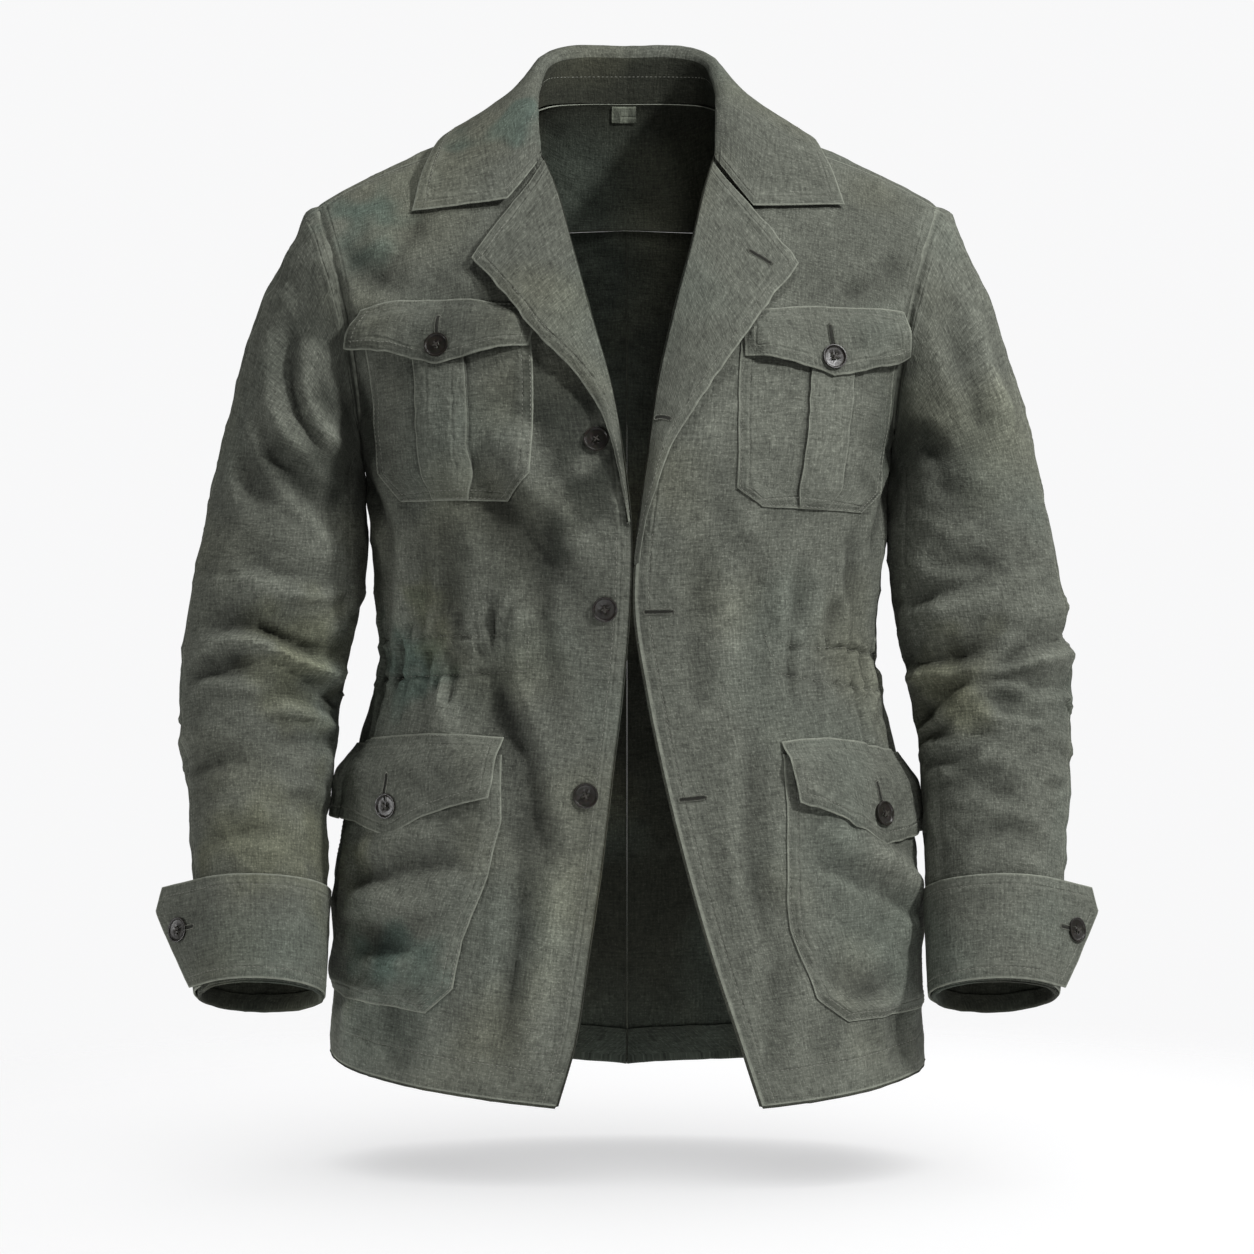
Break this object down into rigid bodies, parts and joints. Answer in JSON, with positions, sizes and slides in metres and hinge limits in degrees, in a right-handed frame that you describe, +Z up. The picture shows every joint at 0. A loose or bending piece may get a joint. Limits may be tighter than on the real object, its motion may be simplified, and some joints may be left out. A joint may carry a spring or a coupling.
{
  "type": "safari jacket",
  "caption": "Worn-shape safari jacket: notched collar, open front, buttoned chest and hip pockets, gathered waist, turned-back cuffs; hollow for a wearer.",
  "frame": {"origin": "on the neck seam at the centre of the back, where the jacket hangs on the wearer's nape", "axes": "+Z up, -Y out of the wearer's chest, +X towards the wearer's left"},
  "size_m": [0.682, 0.2749, 0.7853],
  "materials": {
    "cloth": "washed olive-grey linen and cotton, soft dull sheen, slubbed plain weave",
    "button": "dark brown, satin, raised rim",
    "label": "dark woven tape, plain"
  },
  "bodies": {
    "root": {"front_right": "cloth", "front_left": "cloth", "back_right": "cloth", "back_left": "cloth", "back_yoke": "cloth", "sleeve_top_right": "cloth", "sleeve_under_right": "cloth", "sleeve_top_left": "cloth", "sleeve_under_left": "cloth", "cuff_right": "cloth", "cuff_left": "cloth", "lapel_right": "cloth", "lapel_left": "cloth", "collar_fall": "cloth", "collar_stand": "cloth", "chest_pocket_right": "cloth", "chest_pocket_left": "cloth", "chest_flap_right": "cloth", "chest_flap_left": "cloth", "lower_pocket_right": "cloth", "lower_pocket_left": "cloth", "lower_flap_right": "cloth", "lower_flap_left": "cloth", "neck_label": "label", "front_button_top": "button", "front_button_middle": "button", "front_button_low": "button", "chest_button_right": "button", "chest_button_left": "button", "hip_button_right": "button", "hip_button_left": "button", "cuff_button_right": "button", "cuff_button_left": "button"}
  },
  "joints": []
}
